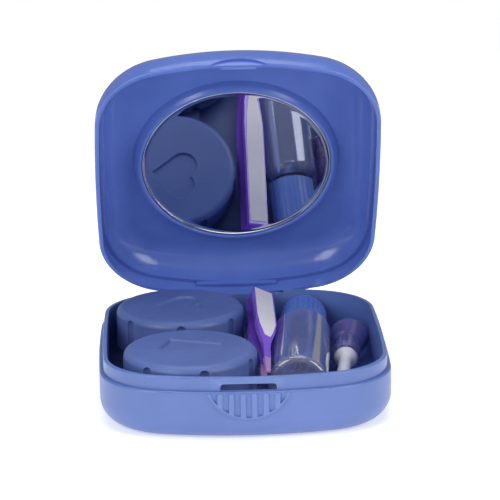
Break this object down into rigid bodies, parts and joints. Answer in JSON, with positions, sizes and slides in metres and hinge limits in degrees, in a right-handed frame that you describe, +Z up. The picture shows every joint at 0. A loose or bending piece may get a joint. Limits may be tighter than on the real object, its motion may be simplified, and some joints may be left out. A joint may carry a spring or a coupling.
{
  "type": "contact lens case",
  "caption": "Clamshell contact lens travel case, lid open, with a round mirror, screw-cap lens pots, solution bottle, soft-tip tweezers and suction applicator.",
  "frame": {"origin": "centre of the tray's underside, on the surface it rests on", "axes": "+Z up, -Y towards the catch and thumb pad, +Y towards the hinge, +X to the right seen from the catch side"},
  "size_m": [0.0666, 0.0789, 0.0783],
  "materials": {
    "case_plastic": "satin moulded polypropylene, cornflower blue",
    "pin_steel": "plain wire",
    "mirror_silver": "silvered glass with a bevelled edge",
    "adhesive_foam": "thin double-sided pad",
    "pot_plastic": "satin moulded plastic",
    "cap_plastic": "fine matte moulded plastic",
    "liner_soft": "soft translucent liner",
    "clear_plastic": "clear blown plastic",
    "plug_plastic": "natural polyethylene",
    "bottle_cap_plastic": "satin ribbed plastic",
    "tweezers_purple": "tinted translucent plastic",
    "grip_grey": "soft-touch grey",
    "tip_soft": "soft translucent silicone",
    "stick_white": "white moulded plastic",
    "silicone_lilac": "clear lilac silicone"
  },
  "bodies": {
    "base": {"base_shell": "case_plastic", "hinge_pin": "pin_steel"},
    "lid": {"lid_shell": "case_plastic", "mirror_glass": "mirror_silver", "mirror_adhesive": "adhesive_foam"},
    "lens_pots": {"lens_pot_body": "pot_plastic"},
    "rear_liner": {"rear_cap_liner": "liner_soft"},
    "rear_cap": {"rear_lens_cap": "cap_plastic"},
    "front_liner": {"front_cap_liner": "liner_soft"},
    "front_cap": {"front_lens_cap": "cap_plastic"},
    "bottle": {"bottle_body": "clear_plastic", "bottle_dropper_plug": "plug_plastic"},
    "bottle_liner": {"bottle_cap_liner": "liner_soft"},
    "bottle_screw_cap": {"bottle_cap": "bottle_cap_plastic"},
    "tweezers": {"tweezers_bend": "tweezers_purple"},
    "upper_arm": {"tweezers_upper_arm": "tweezers_purple", "tweezers_upper_grip": "grip_grey", "tweezers_upper_tip": "tip_soft"},
    "lower_arm": {"tweezers_lower_arm": "tweezers_purple", "tweezers_lower_grip": "grip_grey", "tweezers_lower_tip": "tip_soft"},
    "applicator": {"applicator_stick": "stick_white", "applicator_suction_cup": "silicone_lilac"}
  },
  "joints": [
    {"name": "lid_hinge", "type": "hinge", "parent": "base", "child": "lid", "pos_m": [0, 0.0369, 0.012], "axis": [-1, 0, 0], "range_deg": [-62.3, 47.7]},
    {"name": "pots_lift_out", "type": "slide", "parent": "base", "child": "lens_pots", "axis": [0, 0, 1], "range_m": [0, 0.014]},
    {"name": "rear_cap_rise", "type": "slide", "parent": "lens_pots", "child": "rear_liner", "axis": [0, 0, 1], "range_m": [0, 0.0025]},
    {"name": "rear_cap_turn", "type": "hinge", "parent": "rear_liner", "child": "rear_cap", "pos_m": [-0.01406, 0.01628, 0.0144], "axis": [0, 0, 1], "range_deg": [0, 300]},
    {"name": "front_cap_rise", "type": "slide", "parent": "lens_pots", "child": "front_liner", "axis": [0, 0, 1], "range_m": [0, 0.0025]},
    {"name": "front_cap_turn", "type": "hinge", "parent": "front_liner", "child": "front_cap", "pos_m": [-0.01234, -0.01768, 0.0144], "axis": [0, 0, 1], "range_deg": [0, 300]},
    {"name": "bottle_lift_out", "type": "slide", "parent": "base", "child": "bottle", "axis": [0, 0, 1], "range_m": [0, 0.0135]},
    {"name": "bottle_cap_rise", "type": "slide", "parent": "bottle", "child": "bottle_liner", "axis": [0.0837, 0.9965, 0], "range_m": [0, 0.00075]},
    {"name": "bottle_cap_turn", "type": "hinge", "parent": "bottle_liner", "child": "bottle_screw_cap", "pos_m": [0.01544, 0.02393, 0.0086], "axis": [0.0837, 0.9965, 0], "range_deg": [0, 120]},
    {"name": "tweezers_lift_out", "type": "slide", "parent": "bottle", "child": "tweezers", "axis": [0, 0, 1], "range_m": [0, 0.0135]},
    {"name": "upper_arm_squeeze", "type": "hinge", "parent": "tweezers", "child": "upper_arm", "pos_m": [0.00569, 0.03039, 0.0141], "axis": [0.9204, -0.0161, -0.3907], "range_deg": [0, 0.5]},
    {"name": "lower_arm_squeeze", "type": "hinge", "parent": "tweezers", "child": "lower_arm", "pos_m": [0.00467, 0.0304, 0.0117], "axis": [-0.9204, 0.0161, 0.3907], "range_deg": [0, 0.5]},
    {"name": "applicator_lift_out", "type": "slide", "parent": "base", "child": "applicator", "axis": [0, 0, 1], "range_m": [0, 0.0135]}
  ],
  "couplings": [
    {"joint": "rear_cap_rise", "follows": "rear_cap_turn", "m_per_rad": 0.00047746},
    {"joint": "front_cap_rise", "follows": "front_cap_turn", "m_per_rad": 0.00047746},
    {"joint": "bottle_cap_rise", "follows": "bottle_cap_turn", "m_per_rad": 0.00035014},
    {"joint": "lower_arm_squeeze", "follows": "upper_arm_squeeze", "ratio": 1}
  ]
}
